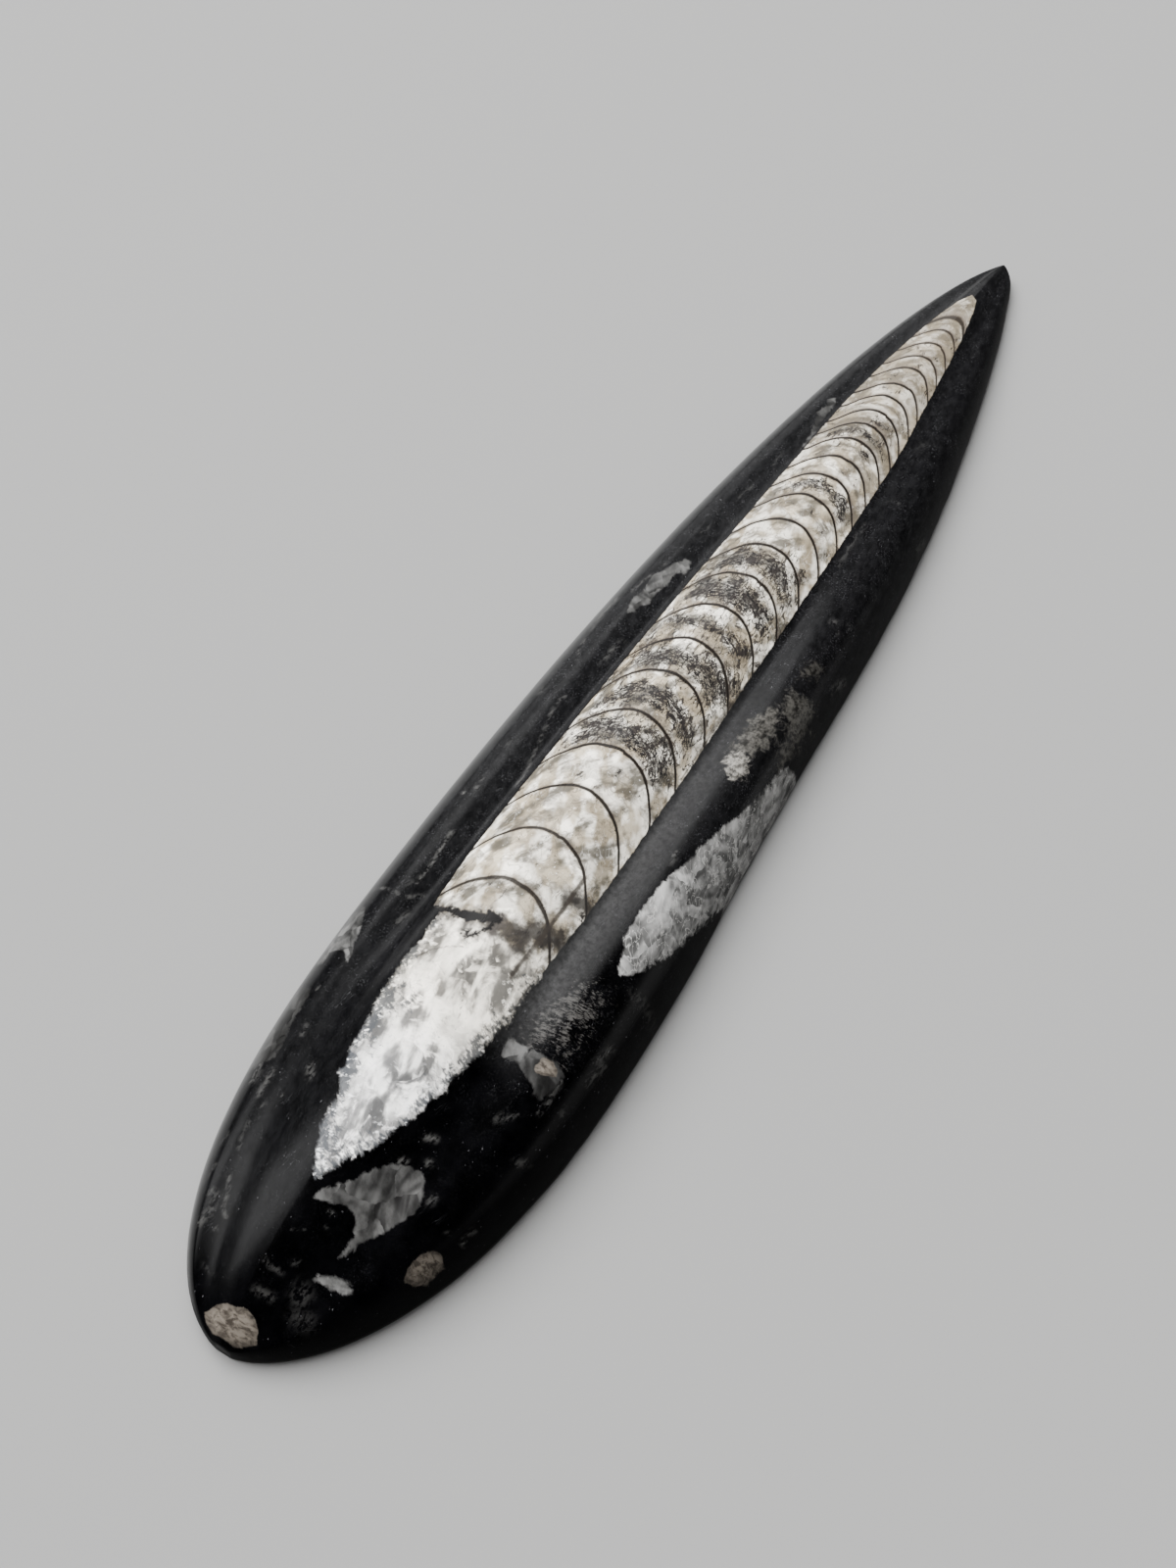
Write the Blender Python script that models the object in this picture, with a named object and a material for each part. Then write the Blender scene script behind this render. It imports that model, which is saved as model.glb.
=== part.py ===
"""Polished orthoceras fossil: a boat-shaped black limestone with the calcite shell standing along its top.

The stone is one solid. It lies on a flat sawn base, its blunt end towards -X and its pointed end
towards +X. A rounded ridge carries the shell, a shallow flute runs along each side of the ridge,
and a convex shoulder outside each flute falls to the base. Lengths are in metres, +Z is up, and
the origin is at the middle of the base.
"""
import math

import bmesh
import bpy

# ---- driving dimensions ---------------------------------------------------------------------
LENGTH = 0.230              # blunt end to pointed end
RIM_HEIGHT = 0.0016         # upright band above the base, all round the stone
BASE_CHAMFER = 0.0004       # eased edge between the base and that band
RIDGE_HALF_WIDTH = 0.0100   # of the shell's ridge at the blunt end
RIDGE_TAPER = (3.2, 0.8)    # exponents of the ridge's narrowing towards the pointed end
RIDGE_OF_SIDE = 0.62        # the ridge takes at most this share of a half-width
RIGHT_WAVER = 0.0007        # the right side's outline waves in and out by this much
WAVER_START = 0.33          # share of the length where that wave starts
WAVER_LENGTH = 0.50         # length of the wave, as a share of the stone's
WAVER_FADES = (0.30, 0.40, 0.96, 1.00)    # where it comes in and goes out again
ARCH_RADIUS = 1.3           # of the ridge's top, in ridge half-widths
ARCH_SPAN = 0.8             # the arch turns into a straight flank at this share of its radius
SHOULDER_HEIGHT = 0.72      # of the shoulder's top, as a share of the crest
SHOULDER_PLACE = 0.42       # of the way from the ridge's foot to the outline
SHOULDER_ROUND = (2.2, 0.6)  # exponents of the shoulder's fall to the rim
FLUTE_DEPTH = 0.0013        # of the flute under the shoulder's top
FLUTE_SWEEP = 1.6           # exponent of its rise: above 1 it is steepest at the ridge's foot
FLUTE_STARTS = (0.16, 0.30)  # share of the length where the flute begins and is at full depth
FLUTE_ENDS = (0.52, 0.68)   # and where it starts to fade and has gone
BLEND = 0.0007              # how softly ridge and shoulder run together
BLUNT_BLEND = 0.0009        # so much softer towards the blunt end
BLUNT_BLEND_SPAN = (0.03, 0.10, 0.20, 0.32)    # where that comes in and goes out again

# ---- mesh density ---------------------------------------------------------------------------
STATIONS = 58               # cross-sections along the stone
END_CROWDING = 0.80         # 0 spaces them evenly, 1 crowds them at the ends as a cosine does
RIDGE_STEPS = 7             # facets on each half of the ridge
FLUTE_STEPS = 5             # facets from the ridge's foot to the shoulder's top
SHOULDER_STEPS = 9          # facets from there to the rim
END_MARGIN = 0.0008         # share of the length left off at each end, where the outline closes

STONE_COLOUR = (0.012, 0.012, 0.013, 1.0)
STONE_ROUGHNESS = 0.18


class Swell:
    """A measure that rises from the blunt end to its greatest value and falls to the pointed end."""

    def __init__(self, least, greatest, place, rise, fall):
        self.least = least          # value at the two ends
        self.greatest = greatest    # value at place
        self.place = place          # share of the length
        self.rise = rise            # two exponents of the blunt end's rounding
        self.fall = fall            # two exponents of the pointed end's narrowing

    def at(self, share):
        if share < self.place:
            away, (inner, outer) = 1.0 - share / self.place, self.rise
        else:
            away, (inner, outer) = (share - self.place) / (1.0 - self.place), self.fall
        fullness = max(1.0 - away ** inner, 0.0) ** outer
        return self.least + (self.greatest - self.least) * fullness


LEFT = Swell(0.0, 0.0217, 0.315, (3.2, 0.54), (2.1, 0.665))
RIGHT = Swell(0.0, 0.0244, 0.256, (2.4, 0.59), (1.42, 0.56))
CREST = Swell(0.0026, 0.0185, 0.300, (2.4, 0.66), (1.5, 0.75))
AXIS_OFFSET = 0.5 * (RIGHT.greatest - LEFT.greatest)    # crest line to the middle of the width


def smooth_step(low, high, value):
    share = min(max((value - low) / (high - low), 0.0), 1.0)
    return share * share * (3.0 - 2.0 * share)


def left_half_width(share):
    return LEFT.at(share)


def right_half_width(share):
    """Half-width of the right side, whose outline was ground with a slight wave."""
    fade_in = smooth_step(WAVER_FADES[0], WAVER_FADES[1], share)
    fade_out = 1.0 - smooth_step(WAVER_FADES[2], WAVER_FADES[3], share)
    wave = math.sin(2.0 * math.pi * (share - WAVER_START) / WAVER_LENGTH)
    return RIGHT.at(share) - RIGHT_WAVER * wave * fade_in * fade_out


def ridge_half_width(share):
    """Half-width of the shell's ridge, never more than its share of the narrower side."""
    inner, outer = RIDGE_TAPER
    cone = RIDGE_HALF_WIDTH * max(1.0 - share ** inner, 0.0) ** outer
    room = RIDGE_OF_SIDE * min(left_half_width(share), right_half_width(share))
    return cone * room / (cone ** 4 + room ** 4) ** 0.25


def flute_depth(share):
    begin = smooth_step(FLUTE_STARTS[0], FLUTE_STARTS[1], share)
    end = 1.0 - smooth_step(FLUTE_ENDS[0], FLUTE_ENDS[1], share)
    return FLUTE_DEPTH * begin * end


def blend_radius(share):
    """How softly ridge and shoulder run together: the hollow between them fills up near the blunt end."""
    comes_in = smooth_step(BLUNT_BLEND_SPAN[0], BLUNT_BLEND_SPAN[1], share)
    goes_out = 1.0 - smooth_step(BLUNT_BLEND_SPAN[2], BLUNT_BLEND_SPAN[3], share)
    return BLEND + BLUNT_BLEND * comes_in * goes_out


def surface_height(share, half_width, across):
    """Height of the stone's top at a distance across from the crest line."""
    crest = CREST.at(share)
    foot = ridge_half_width(share)
    radius = ARCH_RADIUS * foot
    arch = min(across, ARCH_SPAN * radius)
    arch_rise = math.sqrt(radius ** 2 - arch ** 2)
    ridge = crest - (radius - arch_rise) - (across - arch) * arch / arch_rise

    top = RIM_HEIGHT + (crest - RIM_HEIGHT) * SHOULDER_HEIGHT
    place = foot + (half_width - foot) * SHOULDER_PLACE
    if across < place:
        down = min((place - across) / (place - foot), 1.0)
        shoulder = top - flute_depth(share) * down ** FLUTE_SWEEP
    else:
        out = min((across - place) / (half_width - place), 1.0)
        inner, outer = SHOULDER_ROUND
        shoulder = RIM_HEIGHT + (top - RIM_HEIGHT) * max(1.0 - out ** inner, 0.0) ** outer
    high, low = max(ridge, shoulder), min(ridge, shoulder)
    blend = blend_radius(share)
    return high + blend * math.log1p(math.exp((low - high) / blend))


def half_section(share, half_width):
    """Distance and height of one side's points, from the crest line out to the base."""
    foot = ridge_half_width(share)
    place = foot + (half_width - foot) * SHOULDER_PLACE
    across = [foot * k / RIDGE_STEPS for k in range(RIDGE_STEPS + 1)]
    across += [foot + (place - foot) * k / FLUTE_STEPS for k in range(1, FLUTE_STEPS + 1)]
    for k in range(1, SHOULDER_STEPS + 1):
        out = math.sin(0.5 * math.pi * k / SHOULDER_STEPS)
        across.append(place + (half_width - place) * out)
    points = [(t, surface_height(share, half_width, t)) for t in across]
    points.append((half_width, BASE_CHAMFER))
    points.append((max(half_width - BASE_CHAMFER, 0.5 * half_width), 0.0))
    return points


def station_shares():
    """Shares of the length for the cross-sections, closer together towards both ends."""
    shares = []
    for k in range(STATIONS):
        even = k / (STATIONS - 1)
        crowded = 0.5 * (1.0 - math.cos(math.pi * even))
        share = even + (crowded - even) * END_CROWDING
        shares.append(END_MARGIN + share * (1.0 - 2.0 * END_MARGIN))
    widest = (LEFT.place, RIGHT.place, CREST.place)
    for place in widest:
        nearest = min(range(STATIONS), key=lambda k: abs(shares[k] - place))
        shares[nearest] = place
    return shares


def ring(bm, share):
    """One closed cross-section, from the right base edge over the top to the left base edge."""
    stretch = LENGTH / (1.0 - 2.0 * END_MARGIN)
    x = (share - 0.5) * stretch
    right = [(-t, z) for t, z in half_section(share, right_half_width(share))]
    left = half_section(share, left_half_width(share))
    outline = right[::-1] + left[1:]
    return [bm.verts.new((x, y + AXIS_OFFSET, z)) for y, z in outline]


def build_stone():
    bm = bmesh.new()
    rings = [ring(bm, share) for share in station_shares()]
    for near, far in zip(rings, rings[1:]):
        count = len(near)
        for k in range(count):
            after = (k + 1) % count
            bm.faces.new((near[k], near[after], far[after], far[k]))
    bm.faces.new(rings[0][::-1])
    bm.faces.new(rings[-1])
    bmesh.ops.triangulate(bm, faces=bm.faces[:])
    bmesh.ops.recalc_face_normals(bm, faces=bm.faces[:])
    mesh = bpy.data.meshes.new("orthoceras_stone")
    bm.to_mesh(mesh)
    bm.free()
    mesh.shade_smooth()
    mesh.set_sharp_from_angle(angle=math.radians(50))
    stone = bpy.data.objects.new("orthoceras_stone", mesh)
    bpy.context.scene.collection.objects.link(stone)
    return stone


def polished_limestone():
    material = bpy.data.materials.new("polished_limestone")
    material.use_nodes = True
    shader = material.node_tree.nodes["Principled BSDF"]
    shader.inputs["Base Color"].default_value = STONE_COLOUR
    shader.inputs["Roughness"].default_value = STONE_ROUGHNESS
    shader.inputs["Metallic"].default_value = 0.0
    return material


def main():
    for thing in list(bpy.data.objects):
        bpy.data.objects.remove(thing, do_unlink=True)
    stone = build_stone()
    stone.data.materials.append(polished_limestone())


main()
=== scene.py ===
import math

import bpy
import numpy as np
from mathutils import Matrix, Vector


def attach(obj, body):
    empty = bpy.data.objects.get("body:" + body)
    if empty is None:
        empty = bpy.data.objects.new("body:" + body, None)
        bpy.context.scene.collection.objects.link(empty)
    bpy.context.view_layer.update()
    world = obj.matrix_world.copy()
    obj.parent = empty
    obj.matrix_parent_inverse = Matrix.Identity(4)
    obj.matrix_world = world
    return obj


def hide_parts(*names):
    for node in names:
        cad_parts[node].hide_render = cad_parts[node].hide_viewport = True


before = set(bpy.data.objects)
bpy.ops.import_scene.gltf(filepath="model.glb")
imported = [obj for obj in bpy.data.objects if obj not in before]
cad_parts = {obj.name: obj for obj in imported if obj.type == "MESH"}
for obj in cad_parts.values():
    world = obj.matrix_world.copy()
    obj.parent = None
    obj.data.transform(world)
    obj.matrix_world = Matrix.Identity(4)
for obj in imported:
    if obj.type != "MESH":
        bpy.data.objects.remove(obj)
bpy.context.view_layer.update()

# A polished orthoceras stone: black limestone ground to a long drop, with the cut shell along its crest.
# +X runs to the pointed end and +Y to the left of the shell. Lengths are in millimetres, except for the
# floor, the lights and the camera, which are in metres. Shares are of the stone's length, from its blunt end.
MM = 0.001
LENGTH = 230.0
RIM_HEIGHT = 1.6
BASE_CHAMFER = 0.4
AXIS = 1.35                     # the crest line's distance from the middle of the width

# The stone's shape, as in its CAD source. A swell is its values at the ends and at its greatest, the share
# where that is, and the exponents of its rise and its fall.
LEFT = (0.0, 21.7, 0.315, (3.2, 0.54), (2.1, 0.665))
RIGHT = (0.0, 24.4, 0.256, (2.4, 0.59), (1.42, 0.56))
CREST = (2.6, 18.5, 0.300, (2.4, 0.66), (1.5, 0.75))
WAVER = 0.7                     # the right side's outline waves in and out by this much
WAVER_START = 0.33
WAVER_LENGTH = 0.50
RIDGE = 10.0                    # half width of the shell's ridge at the blunt end
RIDGE_TAPER = (3.2, 0.8)
RIDGE_OF_SIDE = 0.62            # the ridge takes at most this share of a half width
ARCH_RADIUS = 1.3               # of the ridge's top, in ridge half widths
ARCH_SPAN = 0.8                 # the arch turns into a straight flank at this share of its radius
SHOULDER_HEIGHT = 0.72          # as a share of the crest's height over the rim
SHOULDER_PLACE = 0.42           # of the way from the ridge's foot to the outline
SHOULDER_ROUND = (2.2, 0.6)
FLUTE_DEPTH = 1.3
FLUTE_SWEEP = 1.6
BLEND = 0.7                     # how softly ridge and shoulder run together
BLUNT_BLEND = 0.9               # so much softer towards the blunt end

# The hand-ground surface: depth and size of its waves, worn chamber walls and chips along the base edge.
BROAD_WAVE, BROAD_WAVE_SIZE = 0.022, 16.0
FINE_WAVE, FINE_WAVE_SIZE = 0.008, 4.5
GROOVE, GROOVE_HALF_WIDTH = 0.05, 0.3
CHIPS, CHIP_SIZE = 0.10, 5.0
RIPPLE_CELLS = 66               # the relief repeats after so many bumps

# Mesh grid: stations along the stone, points across its top, rows on its wall and its sawn base.
STATIONS = 620
ACROSS = 135
END_CROWDING = 0.8
SIDE_CROWDING = 0.2
END_MARGIN = 0.0008
WALL_HEIGHTS = (1.15, 0.75, 0.4)
BASE_POINTS = 14

# The map for baking: four strips for the top, and the base beside them at a smaller scale.
STRIPS = 4
STRIP_WIDTH = 66.0
BASE_WIDTH = 46.2
BASE_SCALE = 0.5
MAP_GAP = 1.0
MAP_SIDE = 142.0

# How far the chamber walls bend back towards the shell's edges: (share of the half width, exponent).
LEFT_SAG = (0.62, 1.8)
RIGHT_SAG = (0.72, 2.8)
END_CHAMBER = 14.0              # length counted for the chamber before the first wall and after the last
CHAMBERED_FROM = -53.0          # the open body chamber ends and the chambers begin here
# Where the shell's chamber walls cross the crest line, from the wide end to the tip.
SEPTA = (-44.3, -34.9, -26.2, -17.7, -10.2, -1.4, 5.9, 13.8, 21.5, 28.7, 35.3, 41.8, 47.4, 52.3, 57.4, 61.6,
         65.3, 69.7, 73.5, 78.4, 82.2, 86.3, 90.5, 94.5)
# Outline of all the shell's calcite, the ragged open end first, then its left edge, tip and right edge.
SHELL = ((-92.9, 0.9), (-91.5, 1.9), (-90, 2.6), (-88.2, 3.2), (-87, 4), (-84.5, 4.2), (-82.6, 4.2),
         (-81, 5.2), (-79.8, 6.1), (-78, 6.2), (-76.6, 6.7), (-74, 7.2), (-70.5, 7.5), (-68, 8.1),
         (-62, 8.3), (-58, 8.1), (-54, 8.2), (-52.6, 8.4), (-51.9, 10.2), (-50, 10.5), (-45, 10.8),
         (-40, 11), (-32, 10.9), (-20, 10.6), (-12, 10.7), (-4, 10.4), (4, 10.3), (12, 10.1), (20, 9.8),
         (28, 9.4), (36, 9.1), (44, 8.9), (52, 8.6), (60, 8.4), (66, 8.2), (72, 7.7), (80, 7), (86, 6.2),
         (92, 5.4), (96, 4.6), (100, 3.4), (102.6, 2), (101.6, 0.7), (98, -0.3), (92, -1.4), (86, -2.2),
         (80, -2.9), (72, -3.8), (66, -4.5), (58, -5.3), (50, -5.7), (42, -6.1), (36, -6.4), (30, -6.6),
         (24, -6.8), (16, -7.1), (8, -7.3), (0, -7.6), (-8, -7.9), (-20, -8.2), (-30, -8.4), (-42, -8.4),
         (-48, -8.2), (-56, -8), (-60, -7.9), (-66, -7.7), (-70, -7.1), (-74, -6.5), (-76, -6.1),
         (-78, -5.8), (-80, -5.3), (-82, -4.6), (-84, -4), (-86, -3.1), (-88, -1.9), (-90, -0.6),
         (-92.5, 0.4))

# Other fossils in the black stone, as (brightness, outline).
GREY_PATCHES = (
    (0.088, ((-95.3, -0.3), (-94.6, -0.2), (-93.5, -1.3), (-92.2, -2), (-90.5, -3.4), (-88.8, -4.3),
        (-87.3, -5.2), (-86.3, -6), (-85.5, -7), (-84.8, -8.4), (-84.4, -9.6), (-85.2, -10.6),
        (-86.5, -11.5), (-88.3, -11.8), (-89.6, -11.7), (-91.2, -10.9), (-93, -10), (-95, -8.8),
        (-96.3, -7.9), (-97.8, -7.4), (-99.3, -6.6), (-97.6, -6.9), (-96, -6.8), (-94.6, -6.3),
        (-93.8, -5.6), (-93.6, -4.4), (-94, -3.2), (-94.6, -2), (-95.2, -1))),
    (0.16, ((-103, -5.2), (-102.2, -5.4), (-101.4, -7), (-100.9, -9.2), (-101.3, -10.4), (-101.9, -10.5),
        (-102.4, -9), (-102.7, -7))),
    (0.05, ((-81.5, 16.2), (-79, 16.4), (-75, 17.2), (-72.5, 17.3), (-70.3, 18), (-70, 19.2), (-71, 20.4),
        (-74, 21.2), (-78, 21), (-81.6, 20.2), (-83.6, 19.4), (-83, 18.5))),
    (0.12, ((-65.3, 15.7), (-63.2, 16.1), (-60, 17.1), (-58, 17.9), (-56.6, 18.5), (-56, 19.2),
        (-56.3, 20.1), (-58, 20.5), (-61, 20.8), (-64, 20.7), (-66.3, 20), (-66, 19.4), (-64.3, 19.3),
        (-63.9, 18.5), (-63.4, 17.5), (-63.8, 16.7))),
    (0.13, ((7.8, 14.7), (9, 15.3), (10.8, 15.4), (12.5, 14.9), (14.5, 15.1), (16.5, 15.3), (18, 14.4),
        (20, 13.8), (21.8, 12.9), (21.9, 11.8), (20.5, 11.1), (19.3, 11.4), (20, 12.2), (18.2, 12.6),
        (16, 12.5), (13.6, 13.1), (11.5, 13), (10, 13.6), (8.5, 14))),
    (0.09, ((51.5, 8.9), (56, 9.2), (59, 10), (62, 10.5), (65.8, 10.6), (66.8, 9.9), (65, 9.2), (61, 9.2),
        (57, 8.8))),
    (0.34, ((-46.8, -17), (-45.8, -16.2), (-43.3, -15.6), (-42, -14.6), (-40, -14.5), (-36, -14.4),
        (-32, -14.6), (-28.5, -15.2), (-26, -15.9), (-22, -16.2), (-18, -16.9), (-15, -17.4), (-11, -17.9),
        (-7, -18.1), (-3, -18.2), (-1, -18.6), (0.5, -19.6), (-4, -24), (-22, -24), (-25, -21.2),
        (-32, -20.9), (-36, -20.6), (-40, -20), (-42, -19.3), (-44, -18.9), (-46, -18))),
    (0.09, ((-65.6, -10), (-64.5, -9.4), (-62.8, -9.3), (-62.8, -11.5), (-62.6, -12.5), (-64, -12.3),
        (-65.5, -12.3), (-65.4, -11))),
    (0.05, ((-67, -15.8), (-65.5, -12.6), (-62.8, -13), (-62.5, -16.6), (-63, -18.2), (-66, -18.2),
        (-68.3, -17.5))),
)
# Broken shell in the right side's matrix, alike. Its points were taken from the photo, then converted to mm.
RUBBLE = (
    (0.13, ((-8.4, -11.3), (-6.6, -11.9), (-5.2, -13.1), (-6, -14.4), (-7.9, -14.8), (-9.8, -15.1),
        (-10.4, -14.2), (-9.4, -12.4))),
    (0.036, ((-5.8, -10.9), (-4.2, -11.3), (-2.5, -11.6), (-0.8, -11.6), (1.2, -11.9), (3.1, -12.5),
        (3.9, -13.5), (2.7, -14.5), (0.6, -14.8), (-1.5, -15.4), (-3.6, -15.1), (-5.7, -14.4),
        (-6.1, -12.3))),
    (0.03, ((6.3, -13.5), (8.5, -14), (9, -15.5), (9.5, -17.1), (7.7, -17.6), (5, -17.8), (2.8, -17.8),
        (0.4, -17.9), (-1.7, -18.1), (-3.3, -18), (-1.6, -17.1), (0.7, -17), (2.8, -16.5), (3.5, -15.5),
        (4.9, -14.1))),
    (0.018, ((12.8, -12.8), (14.8, -13.8), (15.1, -15.1), (13.7, -15.5), (11.7, -14.6), (11.5, -13.7))),
)
# Outlines of the tan fossils.
TAN_PATCHES = (
    ((-114.3, -0.5), (-114.4, 3), (-113.6, 4.6), (-112.8, 5.4), (-111.6, 4.3), (-110.8, 3), (-110.5, 1),
     (-110.2, 0.2), (-110.6, -1.5), (-111.4, -2.4), (-112.8, -2.9), (-113.7, -1.8)),
    ((-96.7, -14.9), (-95.5, -14.6), (-93, -15.1), (-91.6, -16.1), (-91.1, -17), (-91.7, -17.8),
     (-93, -17.4), (-94.8, -16.9), (-96.2, -15.9)),
    ((-65.4, -15), (-64.5, -14.4), (-62.8, -14.8), (-62.6, -16.2), (-63.3, -17.3), (-64, -17.6),
     (-64.8, -16.5)),
)
# Slivers, dots and veins of pale calcite, as (brightness, half width, points).
SLIVERS = (
    (0.11, 1.0, ((-105.4, -4.9), (-105, -4.9))),
    (0.05, 1.0, ((-107.5, -5.8), (-107.5, -7.4))),
    (0.1, 0.45, ((-107.8, 0.2), (-107.5, -1.9))),
    (0.09, 0.28, ((-104.3, 1.1), (-104.7, 0.3), (-104.5, -1.6))),
    (0.08, 0.3, ((-102.8, -2.3), (-102.4, -2.8))),
    (0.08, 0.1, ((-99.7, 0), (-98.8, -1.5))),
    (0.22, 0.22, ((-95.4, -3), (-95.4, -3.6))),
    (0.06, 0.22, ((-97.2, -3.4), (-97.2, -3.6))),
    (0.3, 0.3, ((-85.1, -6.9), (-84.6, -7.3))),
    (0.16, 0.38, ((-83.1, -9.9), (-82.9, -9.9))),
    (0.22, 0.38, ((-80.5, -7.9), (-80, -8.9))),
    (0.11, 0.45, ((-87.1, -12.9), (-86.7, -12.9))),
    (0.14, 0.2, ((-87.2, -18.2), (-86, -18.8))),
    (0.24, 0.16, ((-88.4, -18.3), (-87.9, -18.3))),
    (0.1, 0.16, ((-89, -16.3), (-88.7, -16.7))),
    (0.13, 0.33, ((-86.6, 15), (-84.6, 15.1), (-82.6, 15.4))),
    (0.14, 0.5, ((-81.4, 9.9), (-80.1, 11.2))),
    (0.2, 0.14, ((-85.3, 12.1), (-85.1, 12.1))),
    (0.12, 0.5, ((-104.2, 12.2), (-102.4, 11.7), (-100.4, 12), (-100.2, 13.1))),
    (0.12, 0.26, ((-102, 9.3), (-101.2, 10.4), (-99.4, 10.9), (-97.4, 12.1))),
    (0.12, 0.26, ((-103.9, 9.7), (-103.6, 9.7))),
    (0.08, 0.24, ((-99.5, 15), (-97, 14.7))),
    (0.06, 0.24, ((-96, 15.9), (-92.5, 15.6))),
    (0.07, 0.22, ((-94, 13), (-92.2, 13.7), (-90.3, 14))),
    (0.09, 0.18, ((-88, 13.9), (-87, 13.4))),
    (0.15, 0.7, ((-85, 17.3), (-82.4, 17.9))),
    (0.05, 0.26, ((-108.2, 8.8), (-108.6, 6.6))),
    (0.13, 0.24, ((-76.8, 14.8), (-75.4, 15.1))),
    (0.18, 0.14, ((-70.1, 17), (-69.9, 17))),
    (0.14, 0.22, ((-52.4, 20.2), (-52.4, 16.6), (-52, 14.4), (-51.1, 13.4), (-50.6, 12.6))),
    (0.26, 0.2, ((-49.5, 14.6), (-46, 14.6), (-43, 14.9), (-39.8, 15.1))),
    (0.14, 0.12, ((-50.8, 15.4), (-49, 15.3))),
    (0.11, 0.34, ((-56.2, 13.4), (-54.2, 13.1))),
    (0.45, 0.2, ((-33.4, 17.5), (-33.2, 17.5))),
    (0.2, 0.32, ((-31.8, 16.3), (-29.9, 16.4))),
    (0.1, 0.22, ((-39.2, 16.1), (-39, 16.1))),
    (0.11, 0.22, ((-23.5, 16.7), (-22.5, 16.6))),
    (0.2, 0.14, ((-28.3, 11.7), (-25, 12.1), (-21.7, 12.7), (-18, 13.5), (-14.5, 14.4), (-12.3, 14.6),
        (-10.8, 14.2))),
    (0.09, 0.5, ((-11.9, 18.1), (-11, 18.1))),
    (0.12, 0.22, ((-4.2, 16.4), (-2, 17.3), (0.5, 17.8), (5, 18.2))),
    (0.14, 0.45, ((4, 18.4), (10, 18.2))),
    (0.09, 0.45, ((-2.5, 13), (0.3, 13), (2.5, 12.5))),
    (0.25, 0.13, ((-1.6, 13.2), (-1.4, 13.2))),
    (0.25, 0.13, ((0.1, 13.1), (0.3, 13.1))),
    (0.13, 0.2, ((11.8, 16.4), (14.5, 16.1), (16.6, 15.5))),
    (0.08, 0.24, ((19.2, 14.9), (19.6, 14.9))),
    (0.08, 0.2, ((28, 13.4), (30, 13))),
    (0.1, 0.22, ((47.5, 11), (50.5, 11.3))),
    (0.07, 0.24, ((38, 12.2), (42, 11.4))),
    (0.24, 0.18, ((-69.5, -18.2), (-67.5, -18.4), (-64, -18.3))),
    (0.18, 0.14, ((-68, -16.7), (-66.5, -16.4))),
    (0.05, 0.6, ((-73.4, -14.2), (-72.8, -14.8))),
    (0.13, 0.28, ((-72.6, -15.4), (-72.1, -15.7))),
    (0.12, 0.2, ((-71.4, -16.1), (-71, -16.5))),
    (0.13, 0.32, ((-76.4, -18.9), (-75, -20))),
    (0.11, 0.2, ((-67.2, -20.3), (-66.8, -20.3))),
    (0.15, 0.26, ((-61.5, -20.7), (-57.5, -21.2))),
    (0.15, 0.26, ((-58.5, -20.3), (-55, -20.9))),
    (0.07, 0.75, ((-47.6, -19.8), (-46.8, -21), (-47, -22.3))),
    (0.18, 0.26, ((14.5, -17.5), (18.4, -17.9))),
    (0.13, 0.42, ((23.2, -12.5), (23.5, -12.9))),
    (0.1, 0.24, ((22, -14.1), (22.2, -14.3))),
    (0.09, 0.32, ((24.4, -14.8), (24.9, -14.8))),
    (0.3, 0.2, ((-26.6, -13.7), (-26, -13.7))),
    (0.1, 0.32, ((-27.9, -14), (-27.1, -14))),
    (0.08, 0.36, ((34, -8), (38, -7.6), (43.5, -7.4))),
    (0.09, 0.3, ((47, -15.5), (51, -15.3))),
    (0.04, 0.7, ((64, -7.3), (65, -7.3))),
    (0.05, 0.14, ((50, -7.5), (50.9, -8.7), (51, -10))),
)
# Black and brown mineral over the shell, as (half width, points).
BLACK_VEINS = (
    (0.3, ((-51.9, 10.6), (-52.3, 9.4))),
    (0.5, ((-52.3, 9.4), (-52.4, 7.6), (-52.2, 6))),
    (0.72, ((-52.2, 6), (-52.3, 4.6), (-51.9, 3.2), (-51.3, 2))),
    (0.85, ((-51.3, 2), (-50.9, 1.2), (-50.9, 0.5))),
    (0.22, ((-55.2, 2.6), (-54, 1.4), (-52.6, 0.7), (-51.4, 0.4))),
    (0.14, ((-54.9, 3.2), (-54.3, 2.4))),
)
BROWN_VEINS = (
    (0.75, ((-51.3, -0.3), (-51, -1.8))),
    (0.85, ((-50.9, -1.8), (-50.6, -3.2), (-49.4, -4.2))),
    (0.75, ((-49.6, -4.2), (-48.2, -5.2), (-47.4, -6.4), (-47.3, -8.4))),
    (0.55, ((-41.4, -6.1), (-40.6, -7), (-40.9, -8.6))),
    (0.45, ((-52.2, -4.2), (-50.6, -4.4))),
)
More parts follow.
